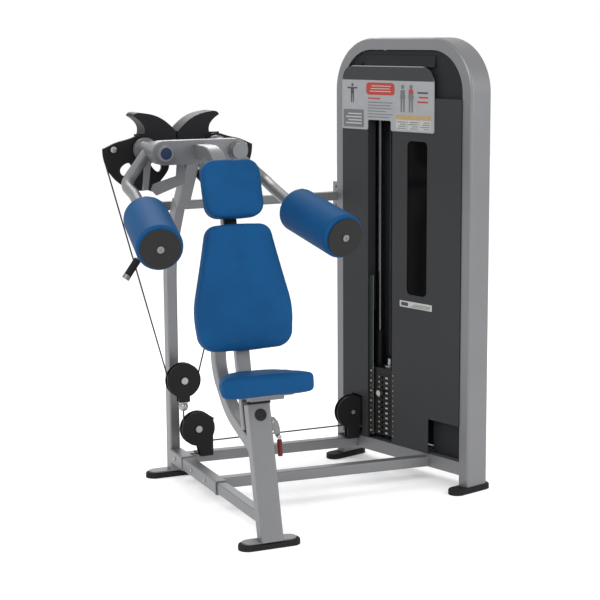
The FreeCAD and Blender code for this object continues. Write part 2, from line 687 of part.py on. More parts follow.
for sx in (-1, 1):
    c0 = V(sx * PIVOT_X, cam_y1 + 1, PIVOT_Z)
    axle_nuts.append(ring(c0, V(sx * PIVOT_X, COVER_Y0, PIVOT_Z), 20, AXLE_R))
    c1 = V(sx * PIVOT_X, COVER_Y0 + SKIN_T, PIVOT_Z)
    axle_nuts.append(ring(c1, c1 + V(0, 9, 0), 17, AXLE_R))
save("pivot_axles", group(axle_nuts))

# rollers: axle bolt, foam pad, end caps
ROLL_LEN = (rf - rb).Length
CAP_T = 6.0
foam_front = rb + roll_axis * (ROLL_LEN - CAP_T)
foam = rod(rb + roll_axis * 0.4, foam_front, ROLLER_R)
foam = foam.makeFillet(10.5, [e for e in foam.Edges if e.Closed and e.Length > 100])
foam = foam.cut(rod(rb, rf, ROLLER_BORE + 0.1))
tube_core = ring(rb, foam_front, ROLLER_BORE, 8.1)
front_cap = rod(foam_front + roll_axis * 0.3, rf, ROLLER_CAP_R)
front_cap = front_cap.makeFillet(2.5, [e for e in front_cap.Edges if e.Closed])
cap_hole = rod(foam_front, rf, 8.1)
front_cap = front_cap.cut(cap_hole)
axle = rod(arm_end + roll_axis * -40, rf, 8.0)
axle_head = rod(rf, rf + roll_axis * 4, 12.0)
axle_head = axle_head.cut(rod(rf + roll_axis * 2, rf + roll_axis * 4, 4.0))
whole_arm = join([arm, cam_hub, join([axle, axle_head])])
for side, flip in (("left", False), ("right", True)):
    for label, shape in (("roller_pad", foam), ("roller_cap", join([tube_core, front_cap])), ("arm", whole_arm)):
        save("%s_%s" % (side, label), mirror_x(shape) if flip else shape)

# ---- adjusting lever hanging from the left arm ----
hang_a = V(-236, 640, 1150)
hang_b = V(-246, 560, 925)
hang_c = V(-303, 560, 846)
grip_dir = (hang_c - hang_b).normalize()
hang = round_path([hang_a, hang_b, hang_c - grip_dir * 4], [40], 7.0)
hang = hang.cut(arm)
hang = sorted(hang.Solids, key=lambda g: -g.Volume)[0]
save("left_arm", hang)
grip_start = hang_b + grip_dir * 16
rubber = ring(grip_start, hang_c - grip_dir * 16, 13.5, 7.0)
save("left_grip", rubber)
end_ring = ring(hang_c - grip_dir * 15.9, hang_c, 14.0, 7.0)
end_plug = rod(hang_c - grip_dir * 4, hang_c, 7.0)
save("left_arm", join([end_ring, end_plug]))

# ---- cable drive ----
def cable_path(pts, radii):
    return round_path(pts, radii, CABLE_R)


# strand angle: common tangent of the cam rim and the floating pulley
alpha = 0.26
for step in range(20):
    gap = PIVOT_X * math.cos(alpha) - (PIVOT_Z - BLOCK_Z) * math.sin(alpha) + (CAM_R - PULLEY_GROOVE)
    slope_gap = -PIVOT_X * math.sin(alpha) - (PIVOT_Z - BLOCK_Z) * math.cos(alpha)
    alpha = alpha - gap / slope_gap
ca = math.cos(alpha)
sa = math.sin(alpha)
cam_tan = V(-PIVOT_X - CAM_R * ca, CAM_Y, PIVOT_Z - CAM_R * sa)
block_tan = V(-PULLEY_GROOVE * ca, CAM_Y, BLOCK_Z - PULLEY_GROOVE * sa)
strand = rod(cam_tan, block_tan, CABLE_R)
save("left_cam_cable", strand)
save("right_cam_cable", mirror_x(strand))


def arc_cable(centre, r, a0, a1):
    mid = (a0 + a1) / 2.0
    pts = []
    for a in (a0, mid, a1):
        pts.append(centre + V(r * math.cos(a), 0, r * math.sin(a)))
    wire = Part.Wire([Part.Arc(pts[0], pts[1], pts[2]).toShape()])
    tangent = V(-math.sin(a0), 0, math.cos(a0))
    profile = Part.Wire([Part.makeCircle(CABLE_R, pts[0], tangent)])
    return sweep(wire, profile)


wrap = arc_cable(at_pivot(CAM_Y), CAM_R, math.radians(178), math.radians(271))
save("left_cam", wrap)
save("right_cam", mirror_x(wrap))
block_c = V(0, CAM_Y, BLOCK_Z)
loop = arc_cable(block_c, PULLEY_GROOVE, math.pi + alpha, 2 * math.pi - alpha)
save("block_plates", loop)
WHEEL_W = 20.0
TAIL_LEN = 83.5
wheel = pulley(block_c, PULLEY_GROOVE, PULLEY_R, WHEEL_W, 8.05, DEPTH)
save("block_pulley", wheel)
plates = []
for y0 in (CAM_Y - WHEEL_W / 2 - 5, CAM_Y + WHEEL_W / 2 + 1):
    disc = rod(V(0, y0, BLOCK_Z), V(0, y0 + 4, BLOCK_Z), GUARD_R)
    tail = box(-22, 22, y0, y0 + 4, BLOCK_Z - TAIL_LEN, BLOCK_Z)
    plates.append(join([disc, tail]).cut(rod(V(0, y0, BLOCK_Z), V(0, y0 + 4, BLOCK_Z), 8.0)))
save("block_plates", group(plates))
pin_y0 = CAM_Y - WHEEL_W / 2 - 5
pin_y1 = CAM_Y + WHEEL_W / 2 + 5
block_bolt = rod(V(0, pin_y0 - 7, BLOCK_Z), V(0, pin_y1 + 5, BLOCK_Z), 8.0)
block_bolt = join([block_bolt, rod(V(0, pin_y0 - 7, BLOCK_Z), V(0, pin_y0, BLOCK_Z), 13.0)])
save("block_swivel", block_bolt)
swivel_z = BLOCK_Z - 78
yoke = box(-15, 15, CAM_Y - WHEEL_W / 2 - 1, CAM_Y + WHEEL_W / 2 + 1, swivel_z - 12, swivel_z + 8)
stud = rod(V(0, CAM_Y, swivel_z - 34), V(0, CAM_Y, swivel_z - 12), 12)
ball = Part.makeSphere(18, V(0, CAM_Y, swivel_z - 24))
swivel = join([yoke, stud, ball]).cut(rod(V(0, CAM_Y, 200), V(0, CAM_Y, swivel_z - 36), CABLE_R + 0.2))
save("block_swivel", swivel)
DROP_TOP = swivel_z - 40
drop = rod(V(0, CAM_Y, LOWER_Z), V(0, CAM_Y, DROP_TOP), CABLE_R)
save("drop_cable", drop)

lower_c = V(LOWER_X, CAM_Y, LOWER_Z)
save("lower_pulley", pulley(lower_c, PULLEY_GROOVE, PULLEY_R, WHEEL_W, 8.05, DEPTH))
guard_parts = []
for y0 in (CAM_Y - WHEEL_W / 2 - 5, CAM_Y + WHEEL_W / 2 + 1):
    disc = rod(V(LOWER_X, y0, LOWER_Z), V(LOWER_X, y0 + 4, LOWER_Z), GUARD_R)
    plate = plane_shape([(64, 270), (117, 246), (113, 232), (112, 102), (62, 102), (50, 150)], y0, y0 + 4)
    guard_parts.append(join([disc, plate]).cut(rod(V(LOWER_X, y0, LOWER_Z), V(LOWER_X, y0 + 4, LOWER_Z), 8.0)))
foot_tab = box(62, 112, CAM_Y - WHEEL_W / 2 - 5, 905, 100.2, 104)
foot_tab = foot_tab.cut(guard_parts[0]).cut(guard_parts[1])
save("pulley_guards", group(guard_parts))
save("pulley_guards", group(foot_tab.Solids))
lower_bolt = rod(V(LOWER_X, pin_y0 - 7, LOWER_Z), V(LOWER_X, pin_y1 + 5, LOWER_Z), 8.0)
lower_bolt = join([lower_bolt, rod(V(LOWER_X, pin_y0 - 7, LOWER_Z), V(LOWER_X, pin_y0, LOWER_Z), 13.0)])
save("bolts", lower_bolt)

# base cable: round the lower pulley, along the floor, up the tower and over the top pulley
tower_rise_x = BASE_PULLEY_X + PULLEY_GROOVE


def tower_point(u, v, z):
    a = math.radians(TOWER_TURN)
    return V(TOWER_X + v * math.cos(a) - u * math.sin(a), TOWER_Y + v * math.sin(a) + u * math.cos(a), z)


stack_c = tower_point(STACK_U, 0, 0)
TOP_Z = 1530.0
rise = V(tower_rise_x, CAM_Y, 0)
top_span = (stack_c - rise).Length
TOP_GROOVE = top_span / 2.0
top_dir = (stack_c - rise).normalize()
top_axis = top_dir.cross(UP)
top_c = (stack_c + rise) * 0.5 + V(0, 0, TOP_Z)
floor_z = LOWER_Z - PULLEY_GROOVE
route_low = [V(0, CAM_Y, LOWER_Z), V(0, CAM_Y, floor_z), V(tower_rise_x, CAM_Y, floor_z),
             V(tower_rise_x, CAM_Y, TOP_Z)]
corner = [PULLEY_GROOVE - 0.001, PULLEY_GROOVE]
base_wire = path_wire(route_low, corner)
first = V(0, CAM_Y, LOWER_Z)
base_cable = sweep(base_wire, Part.Wire([Part.makeCircle(CABLE_R, first, V(0, 0, -1))]))
top_arc = Part.Arc(rise + V(0, 0, TOP_Z), top_c + V(0, 0, TOP_GROOVE), stack_c + V(0, 0, TOP_Z)).toShape()
top_cable = sweep(Part.Wire([top_arc]), Part.Wire([Part.makeCircle(CABLE_R, rise + V(0, 0, TOP_Z), UP)]))
save("base_cable", base_cable)
save("base_cable", top_cable)
base_c = V(BASE_PULLEY_X, CAM_Y, LOWER_Z)
save("base_pulley", pulley(base_c, PULLEY_GROOVE, PULLEY_R, WHEEL_W, 8.05, DEPTH))
base_bolt = rod(V(BASE_PULLEY_X, pin_y0 - 7, LOWER_Z), V(BASE_PULLEY_X, pin_y1 + 5, LOWER_Z), 8.0)
save("bolts", base_bolt)
base_guard = []
for y0 in (CAM_Y - WHEEL_W / 2 - 5, CAM_Y + WHEEL_W / 2 + 1):
    disc = rod(V(BASE_PULLEY_X, y0, LOWER_Z), V(BASE_PULLEY_X, y0 + 4, LOWER_Z), GUARD_R)
    leg = box(BASE_PULLEY_X - 22, BASE_PULLEY_X + 30, y0, y0 + 4, 104, LOWER_Z)
    hole = rod(V(BASE_PULLEY_X, y0, LOWER_Z), V(BASE_PULLEY_X, y0 + 4, LOWER_Z), 8.0)
    base_guard.append(join([disc, leg]).cut(hole))
leg_foot = box(BASE_PULLEY_X - 22, BASE_PULLEY_X + 30, CAM_Y - WHEEL_W / 2 - 5, 912, 100.2, 104)
trimmed = []
for piece in base_guard + [leg_foot]:
    trimmed.append(sorted(piece.cut(base_member).Solids, key=lambda g: -g.Volume)[0])
save("pulley_guards", group(trimmed))
top_wheel = pulley(top_c, TOP_GROOVE, TOP_GROOVE + 5, WHEEL_W, 8.05, top_axis)
save("top_pulley", top_wheel)
top_plates = []
for s in (-1, 1):
    inner_face = top_c + top_axis * (s * (WHEEL_W / 2 + 1))
    outer_face = inner_face + top_axis * (s * 4)
    disc = rod(inner_face, outer_face, 40)
    hang = solid_bar((inner_face + outer_face) * 0.5, (inner_face + outer_face) * 0.5 + V(0, 0, 94.9),
                     40, 4, top_dir, 1.0)
    top_plates.append(join([disc, hang]).cut(rod(inner_face, outer_face, 8.0)))
pin_a = top_c - top_axis * (WHEEL_W / 2 + 9)
pin_b = top_c + top_axis * (WHEEL_W / 2 + 9)
save("bolts", rod(pin_a, pin_b, 8.0))

# ---- weight tower ----
half = ARCH_D / 2.0
arch_mid = (ARCH_U0 + ARCH_U1) / 2.0
arch_low = BOOT_H


def arch_profile(inset):
    u0 = ARCH_U0 + inset
    u1 = ARCH_U1 - inset
    top = TOWER_H - inset
    r = ARCH_R - inset
    block = box(-half, half, u0, u1, arch_low, top)
    edges = []
    for e in block.Edges:
        b = e.BoundBox
        if b.XLength > 1 and b.YLength < 1e-4 and b.ZLength < 1e-4 and b.ZMin > top - 1:
            edges.append(e)
    return block.makeFillet(r, edges)


arch = arch_profile(0).cut(arch_profile(ARCH_IN))
outer_edges = []
for e in arch.Edges:
    b = e.BoundBox
    on_face = abs(abs(b.XMin) - half) < 1e-3 and b.XLength < 1e-3
    outside = b.YMin < ARCH_U0 + 1 or b.YMax > ARCH_U1 - 1 or b.ZMax > TOWER_H - 1
    if on_face and outside and b.ZMax > arch_low + 1:
        outer_edges.append(e)
arch = arch.makeFillet(10.0, outer_edges)
arch = tower(arch)
save("tower_arch", arch)
save("tie_beams", sorted(upper_tie.cut(arch).Solids, key=lambda g: -g.Volume)[0])
hangers = []
for piece in top_plates:
    hangers.append(sorted(piece.cut(arch).Solids, key=lambda g: -g.Volume)[0])
save("pulley_guards", group(hangers))
tower_boots = []
for u in (ARCH_U0 + ARCH_IN / 2, ARCH_U1 - ARCH_IN / 2):
    b = oblong(-22, u, 190, 64, 0, BOOT_H, True)
    tower_boots.append(tower(soften_top(b, BOOT_H, 5.0)))
save("foot_boots", group(tower_boots))
rear_member = tower(box(12, 52, ARCH_U0 + ARCH_IN, ARCH_U1 - ARCH_IN, 60, 110))
save("tower_base", base_member)
save("tower_base", rear_member)
deck = box(-12, 12, STACK_U - 110, STACK_U + 110, 98, 110)
save("tower_base", tower(deck))

FACE = -56.0
SKIN = 3.0
U_IN0 = ARCH_U0 + ARCH_IN
U_IN1 = ARCH_U1 - ARCH_IN
SLOT0 = 366.0
SLOT1 = 502.0
PANEL_TOP = 1450.0
FOLD_V = -STACK_D / 2.0 - 2.0
FOLD_DEEP_V = -17.0
FOLD_SPLIT = 620.0
HOOD_LAP = 60.0


def folded_panel(u0, u1, z0, z1, fold_u, fold_out):
    face_part = box(FACE, FACE + SKIN, u0, u1, z0, z1)
    fold = box(FACE, FOLD_V, fold_u, fold_out, z0, z1)
    deep_fold = box(FACE, FOLD_DEEP_V, fold_u, fold_out, FOLD_SPLIT, z1 - HOOD_LAP - 2)
    return join([face_part, fold, deep_fold])


right_panel = folded_panel(U_IN0 + 0.5, SLOT0, 112, PANEL_TOP, SLOT0 - SKIN, SLOT0)
notch = box(FACE - 1, FACE + SKIN + 1, U_IN0 - 1, 167, 100, 246)
right_panel = right_panel.cut(notch)
opening = prism(580, 106, 20, 20)
opening.Placement = FreeCAD.Placement(V(FACE - 8, 233, 1000), FreeCAD.Rotation(V(0, 1, 0), 90))
right_panel = right_panel.cut(opening)
save("tower_panels", tower(right_panel))
left_panel = folded_panel(SLOT1, U_IN1 - 0.5, 112, PANEL_TOP, SLOT1, SLOT1 + SKIN)
left_panel_world = tower(left_panel)
clear_pulley = rod(V(BASE_PULLEY_X, pin_y0 - 14, LOWER_Z), V(BASE_PULLEY_X, pin_y1 + 14, LOWER_Z), GUARD_R + 6)
clear_leg = box(BASE_PULLEY_X - 30, BASE_PULLEY_X + 38, pin_y0 - 12, pin_y1 + 12, 60, LOWER_Z)
left_panel_world = left_panel_world.cut(clear_pulley).cut(clear_leg)
clear_run = box(300, BASE_PULLEY_X + 10, CAM_Y - 8, CAM_Y + 8, floor_z - 8, floor_z + 8)
save("tower_panels", sorted(left_panel_world.cut(clear_run).Solids, key=lambda s: -s.Volume)[0])
window = prism(592, 118, 24, 2)
window.Placement = FreeCAD.Placement(V(FACE + SKIN + 0.2, 233, 1000), FreeCAD.Rotation(V(0, 1, 0), 90))
save("tower_window", tower(window))
opening_tray = box(FACE + SKIN + 30, FACE + SKIN + 32, U_IN0 + 1, 170, 112, 250)
save("tower_hood", tower(opening_tray))
hood = box(FACE + 14, FACE + 17, U_IN0 - 16, U_IN1 + 16, PANEL_TOP - HOOD_LAP, TOWER_H - ARCH_IN - 2)
hood = hood.cut(box(-100, 100, -100, U_IN0, 0, 1700)).cut(box(-100, 100, U_IN1, 900, 0, 1700))
hood = hood.common(arch_profile(ARCH_IN + 1))
ledge = plane_shape([(FACE + 2, 1563), (FACE + 14, 1560), (FACE + 14, 1600), (FACE + 12, 1606)], 150, 520)
wheel_room = rod(top_c - top_axis * 14, top_c + top_axis * 14, TOP_GROOVE + 9)
hood = tower(join([hood, ledge])).cut(wheel_room)
for piece in hangers:
    hood = hood.cut(piece)
save("tower_hood", sorted(hood.Solids, key=lambda g: -g.Volume)[0])
back = box(half - 4, half - 1, U_IN0, U_IN1, 112, TOWER_H)
save("tower_panels", tower(back.common(arch_profile(ARCH_IN + 1))))

placard = box(FACE - 3.2, FACE - 0.2, 143, 646, 1323, 1565)
edges = [e for e in placard.Edges if e.BoundBox.XLength > 1 and e.BoundBox.ZMin > 1560]
placard = placard.makeFillet(70.0, edges)
placard = placard.cut(box(FACE - 10, FACE, 372, 500, 1300, 1361))
edges = [e for e in placard.Edges if e.BoundBox.XLength > 1 and e.BoundBox.ZMax < 1365]
placard = placard.makeFillet(8.0, edges)
save("placard", tower(placard))
label = box(FACE - 1.2, FACE - 0.2, 150, 322, 660, 684)
save("labels", tower(label))
scale_strip = box(FACE + SKIN + 2, FACE + SKIN + 4, 478, 501, 128, 760)
save("labels", tower(scale_strip))

BRIDGE_Z = 1446.0
rods = []
for s in (-1, 1):
    c0 = V(0, STACK_U + s * ROD_OFFSET, 110)
    rods.append(rod(c0, V(0, STACK_U + s * ROD_OFFSET, BRIDGE_Z), ROD_R))
save("guide_rods", tower(group(rods)))
rod_clamp = []
for s in (-1, 1):
    c0 = V(0, STACK_U + s * ROD_OFFSET, BRIDGE_Z - 22)
    rod_clamp.append(ring(c0, c0 + V(0, 0, 22), 18, ROD_R))
bridge = box(-20, 20, U_IN0, U_IN1, BRIDGE_Z, BRIDGE_Z + 12)
bridge = bridge.cut(rod(V(0, STACK_U, BRIDGE_Z - 10), V(0, STACK_U, BRIDGE_Z + 20), 14))
save("tower_base", tower(group(rod_clamp)))
bridge_world = tower(bridge)
bridge_world = bridge_world.cut(rod(rise + V(0, 0, 1400), rise + V(0, 0, 1500), 14))
save("tower_base", bridge_world)
bumpers = []
for s in (-1, 1):
    c0 = V(0, STACK_U + s * ROD_OFFSET, 110)
    bumpers.append(ring(c0, c0 + V(0, 0, 22), 19, ROD_R + 0.4))
save("rubber_bumpers", tower(group(bumpers)))


def drilled(z0, z1):
    block = prism(STACK_D, STACK_W, 6.0, z1 - z0)
    block.translate(V(0, STACK_U, z0))
    for s in (-1, 1):
        c0 = V(0, STACK_U + s * ROD_OFFSET, z0)
        block = block.cut(rod(c0, c0 + V(0, 0, z1 - z0), ROD_R + 1.0))
    c0 = V(0, STACK_U, z0)
    return block.cut(rod(c0, c0 + V(0, 0, z1 - z0), 13.0))


def pin_hole(z):
    return rod(V(-STACK_D, STACK_U, z), V(0, STACK_U, z), 5.5)


LIFTED = 4
for i in range(PLATE_COUNT):
    z0 = STACK_Z0 + i * PLATE_PITCH
    plate = drilled(z0, z0 + PLATE_PITCH - 0.6).cut(pin_hole(z0 + PLATE_PITCH / 2))
    save("resting_plates" if i < PLATE_COUNT - LIFTED else "lifted_plates", tower(plate))
top_z0 = STACK_Z0 + PLATE_COUNT * PLATE_PITCH
head_plate = drilled(top_z0, top_z0 + 26)
STEM_TOP = top_z0 + 60
stem_rod = rod(V(0, STACK_U, STACK_Z0 + 4), V(0, STACK_U, STEM_TOP), 11.0)
flange_top = rod(V(0, STACK_U, top_z0 + 26), V(0, STACK_U, top_z0 + 34), 24.0)
for i in range(PLATE_COUNT):
    stem_rod = stem_rod.cut(rod(V(-20, STACK_U, STACK_Z0 + i * PLATE_PITCH + PLATE_PITCH / 2),
                                V(20, STACK_U, STACK_Z0 + i * PLATE_PITCH + PLATE_PITCH / 2), 5.5))
save("head_plate", tower(head_plate))
save("selector_stem", tower(join([stem_rod, flange_top])))
sleeves = []
for s in (-1, 1):
    c0 = V(0, STACK_U + s * ROD_OFFSET, top_z0 + 26)
    sleeves.append(ring(c0, c0 + V(0, 0, 140), 15, ROD_R + SLIDE_CLEAR))
save("head_plate", tower(group(sleeves)))
pin_z = STACK_Z0 + (PLATE_COUNT - LIFTED) * PLATE_PITCH + PLATE_PITCH / 2
pin_rod = rod(V(-STACK_D / 2 - 8, STACK_U, pin_z), V(8, STACK_U, pin_z), 5.0)
pin_knob = rod(V(-STACK_D / 2 - 22, STACK_U, pin_z), V(-STACK_D / 2 - 8, STACK_U, pin_z), 11.0)
save("selector_pin", tower(join([pin_rod, pin_knob])))
lift_cable = rod(stack_c + V(0, 0, STEM_TOP), stack_c + V(0, 0, TOP_Z), CABLE_R)
save("stack_cable", lift_cable)

# ---- write one file for each node ----
for name in sorted(nodes):
    pieces = []
    for shape in nodes[name]:
        pieces.extend(shape.Solids)
    out = pieces[0] if len(pieces) == 1 else Part.makeCompound(pieces)
    out.exportStep("parts/%s.step" % name)
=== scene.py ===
import bpy
import bmesh
import json
import math
from mathutils import Matrix, Vector


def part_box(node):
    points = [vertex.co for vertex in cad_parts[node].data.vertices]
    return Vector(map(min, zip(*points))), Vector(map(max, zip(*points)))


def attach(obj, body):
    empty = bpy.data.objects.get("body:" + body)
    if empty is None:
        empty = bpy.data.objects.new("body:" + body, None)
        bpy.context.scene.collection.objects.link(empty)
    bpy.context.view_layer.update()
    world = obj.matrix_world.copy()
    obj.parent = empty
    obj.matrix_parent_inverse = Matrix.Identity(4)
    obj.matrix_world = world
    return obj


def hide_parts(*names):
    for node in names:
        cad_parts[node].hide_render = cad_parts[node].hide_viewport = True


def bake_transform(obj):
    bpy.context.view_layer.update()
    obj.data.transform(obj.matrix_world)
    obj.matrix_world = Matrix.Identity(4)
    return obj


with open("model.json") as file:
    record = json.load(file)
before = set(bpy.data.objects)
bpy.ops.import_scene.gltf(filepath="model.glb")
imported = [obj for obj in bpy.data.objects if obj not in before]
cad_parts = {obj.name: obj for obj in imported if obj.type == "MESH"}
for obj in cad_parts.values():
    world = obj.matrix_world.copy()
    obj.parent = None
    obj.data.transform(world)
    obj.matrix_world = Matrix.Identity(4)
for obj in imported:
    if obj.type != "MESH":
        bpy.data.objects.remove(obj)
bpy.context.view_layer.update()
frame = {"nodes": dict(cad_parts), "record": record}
N = frame["nodes"]
scene = bpy.context.scene

# ---------------- materials ----------------
NOISE_ROUGHNESS = 0.55
SCRATCH_SCALE = 350.0
PRINT_ROUGHNESS = 0.5
EDGE_ROUNDING = 0.0012
VINYL_GRAIN_SCALE = 620.0


def new_mat(name):
    m = bpy.data.materials.new(name)
    m.use_nodes = True
    t = m.node_tree
    for n in list(t.nodes):
        t.nodes.remove(n)
    out = t.nodes.new("ShaderNodeOutputMaterial")
    bsdf = t.nodes.new("ShaderNodeBsdfPrincipled")
    t.links.new(bsdf.outputs["BSDF"], out.inputs["Surface"])
    return m, t, bsdf


def coords(t):
    tc = t.nodes.new("ShaderNodeTexCoord")
    mp = t.nodes.new("ShaderNodeMapping")
    t.links.new(tc.outputs["Object"], mp.inputs["Vector"])
    return mp.outputs["Vector"]


def noise(t, vec, scale, detail):
    n = t.nodes.new("ShaderNodeTexNoise")
    n.inputs["Scale"].default_value = scale
    n.inputs["Detail"].default_value = detail
    n.inputs["Roughness"].default_value = NOISE_ROUGHNESS
    t.links.new(vec, n.inputs["Vector"])
    return n.outputs["Fac"]


def ramp(t, fac, stops):
    r = t.nodes.new("ShaderNodeValToRGB")
    r.color_ramp.elements[0].position = stops[0][0]
    r.color_ramp.elements[0].color = stops[0][1]
    r.color_ramp.elements[1].position = stops[-1][0]
    r.color_ramp.elements[1].color = stops[-1][1]
    for p, c in stops[1:-1]:
        e = r.color_ramp.elements.new(p)
        e.color = c
    t.links.new(fac, r.inputs["Fac"])
    return r.outputs["Color"]


def grey_range(t, fac, lo, hi):
    m = t.nodes.new("ShaderNodeMapRange")
    m.inputs["To Min"].default_value = lo
    m.inputs["To Max"].default_value = hi
    t.links.new(fac, m.inputs["Value"])
    return m.outputs["Result"]


def bump(t, bsdf, height, strength, distance):
    b = t.nodes.new("ShaderNodeBump")
    b.inputs["Strength"].default_value = strength
    b.inputs["Distance"].default_value = distance
    t.links.new(height, b.inputs["Height"])
    t.links.new(b.outputs["Normal"], bsdf.inputs["Normal"])
    return b


def rgba(c, k=1.0):
    return (c[0] * k, c[1] * k, c[2] * k, 1.0)


def painted(name, colour, metallic, rough, spread=0.05, grain=900.0, bump_d=0.00006, spec=0.3):
    m, t, b = new_mat(name)
    v = coords(t)
    broad = noise(t, v, 5.0, 3.0)
    fine = noise(t, v, grain, 2.0)
    mix = t.nodes.new("ShaderNodeMath")
    mix.operation = "ADD"
    t.links.new(broad, mix.inputs[0])
    t.links.new(fine, mix.inputs[1])
    half = t.nodes.new("ShaderNodeMath")
    half.operation = "MULTIPLY"
    half.inputs[1].default_value = 0.5
    t.links.new(mix.outputs[0], half.inputs[0])
    col = ramp(t, half.outputs[0], [(0.3, rgba(colour, 1 - spread)), (0.7, rgba(colour, 1 + spread))])
    t.links.new(col, b.inputs["Base Color"])
    b.inputs["Metallic"].default_value = metallic
    t.links.new(grey_range(t, broad, rough - 0.05, rough + 0.06), b.inputs["Roughness"])
    b.inputs["Specular IOR Level"].default_value = spec
    bev = t.nodes.new("ShaderNodeBevel")
    bev.samples = 4
    bev.inputs["Radius"].default_value = EDGE_ROUNDING
    bp = bump(t, b, fine, 0.35, bump_d)
    t.links.new(bev.outputs["Normal"], bp.inputs["Normal"])
    return m


def vinyl(name, colour):
    m, t, b = new_mat(name)
    v = coords(t)
    vor = t.nodes.new("ShaderNodeTexVoronoi")
    vor.feature = "DISTANCE_TO_EDGE"
    vor.inputs["Scale"].default_value = VINYL_GRAIN_SCALE
    warp = t.nodes.new("ShaderNodeMixRGB")
    warp.inputs["Fac"].default_value = 0.02
    n0 = t.nodes.new("ShaderNodeTexNoise")
    n0.inputs["Scale"].default_value = 60.0
    t.links.new(v, n0.inputs["Vector"])
    t.links.new(v, warp.inputs[1])
    t.links.new(n0.outputs["Color"], warp.inputs[2])
    t.links.new(warp.outputs[0], vor.inputs["Vector"])
    cells = grey_range(t, vor.outputs["Distance"], 0.0, 1.0)
    broad = noise(t, v, 9.0, 3.0)
    wrinkle = noise(t, v, 28.0, 3.0)
    col = ramp(t, broad, [(0.3, rgba(colour, 0.90)), (0.7, rgba(colour, 1.08))])
    t.links.new(col, b.inputs["Base Color"])
    t.links.new(grey_range(t, broad, 0.52, 0.64), b.inputs["Roughness"])
    b.inputs["Specular IOR Level"].default_value = 0.07
    b1 = bump(t, b, cells, 0.25, 0.00016)
    b2 = t.nodes.new("ShaderNodeBump")
    b2.inputs["Strength"].default_value = 0.20
    b2.inputs["Distance"].default_value = 0.0012
    t.links.new(wrinkle, b2.inputs["Height"])
    t.links.new(b2.outputs["Normal"], b1.inputs["Normal"])
    return m


def metal(name, colour, rough):
    m, t, b = new_mat(name)
    v = coords(t)
    s = noise(t, v, SCRATCH_SCALE, 3.0)
    t.links.new(ramp(t, s, [(0.3, rgba(colour, 0.92)), (0.7, rgba(colour, 1.05))]), b.inputs["Base Color"])
    b.inputs["Metallic"].default_value = 1.0
    t.links.new(grey_range(t, s, rough - 0.03, rough + 0.08), b.inputs["Roughness"])
    bump(t, b, s, 0.15, 0.00004)
    return m


def rubber(name, colour, rough=0.75):
    m, t, b = new_mat(name)
    v = coords(t)
    n1 = noise(t, v, 700.0, 3.0)
    n2 = noise(t, v, 12.0, 3.0)
    t.links.new(ramp(t, n2, [(0.3, rgba(colour, 0.85)), (0.7, rgba(colour, 1.3))]), b.inputs["Base Color"])
    t.links.new(grey_range(t, n2, rough - 0.08, rough + 0.08), b.inputs["Roughness"])
    b.inputs["Specular IOR Level"].default_value = 0.2
    bump(t, b, n1, 0.4, 0.00012)
    return m


def cable_mat():
    m, t, b = new_mat("cable_jacket")
    v = coords(t)
    w = t.nodes.new("ShaderNodeTexWave")
    w.inputs["Scale"].default_value = 160.0
    w.inputs["Distortion"].default_value = 0.5
    w.bands_direction = "DIAGONAL"
    t.links.new(v, w.inputs["Vector"])
    b.inputs["Base Color"].default_value = (0.012, 0.012, 0.013, 1)
    b.inputs["Roughness"].default_value = 0.35
    bump(t, b, w.outputs["Fac"], 0.25, 0.0002)
    return m


def flat(name, colour):
    m, t, b = new_mat(name)
    v = coords(t)
    n = noise(t, v, 40.0, 3.0)
    t.links.new(ramp(t, n, [(0.3, rgba(colour, 0.97)), (0.7, rgba(colour, 1.03))]), b.inputs["Base Color"])
    b.inputs["Roughness"].default_value = PRINT_ROUGHNESS
    b.inputs["Specular IOR Level"].default_value = 0.15
    return m


def smoked():
    m, t, b = new_mat("smoked_window")
    v = coords(t)
    n = noise(t, v, 6.0, 2.0)
    tint = ramp(t, n, [(0.3, (0.0016, 0.0016, 0.0018, 1)), (0.7, (0.0030, 0.0030, 0.0034, 1))])
    t.links.new(tint, b.inputs["Base Color"])
    b.inputs["Roughness"].default_value = 0.12
    b.inputs["Specular IOR Level"].default_value = 0.04
    b.inputs["Alpha"].default_value = 0.97
    return m


SILVER = painted("silver_powder_coat", (0.192, 0.194, 0.202), 0.62, 0.38, 0.05, 900.0, 0.00006, 0.35)
CHARCOAL = painted("charcoal_shroud", (0.0270, 0.0280, 0.0305), 0.0, 0.45, 0.06, 500.0, 0.0001, 0.16)
BLACK = painted("black_satin", (0.0085, 0.0085, 0.0092), 0.0, 0.42, 0.10, 600.0, 0.00008, 0.16)
PLASTIC = painted("black_moulded", (0.0165, 0.0165, 0.0170), 0.0, 0.50, 0.08, 450.0, 0.0001, 0.16)
COVER = painted("cover_moulded", (0.0125, 0.0128, 0.0142), 0.0, 0.50, 0.08, 450.0, 0.0001, 0.12)
# Hood: dark moulded plastic, darkened further below the charcoal panels as painted shade for the deep
# recess behind it.
HOOD_PAINTED_SHADE = painted("hood_moulded_painted_shade", (0.0150, 0.0155, 0.0170), 0.0, 0.50, 0.08, 450.0, 0.0001, 0.12)
BLUE = vinyl("blue_vinyl", (0.0045, 0.0560, 0.158))
CHROME = metal("polished_steel", (0.13, 0.13, 0.135), 0.28)
BRIGHT = metal("zinc_steel", (0.34, 0.34, 0.345), 0.30)
RUBBER = rubber("black_rubber", (0.0090, 0.0090, 0.0095))
RED = rubber("red_dip", (0.105, 0.010, 0.013), 0.45)
CABLE = cable_mat()
PLUG = painted("blue_plug", (0.012, 0.022, 0.055), 0.0, 0.30, 0.05)
WHITE = flat("print_white", (0.42, 0.42, 0.41))
PAPER = flat("placard_face", (0.27, 0.275, 0.285))
HEADER = flat("placard_header", (0.036, 0.0375, 0.041))
MIDGREY = flat("print_grey", (0.125, 0.128, 0.135))
INK = flat("print_ink", (0.055, 0.058, 0.065))
PILL = flat("print_red", (0.33, 0.045, 0.035))
AMBER = flat("print_amber", (0.34, 0.24, 0.10))
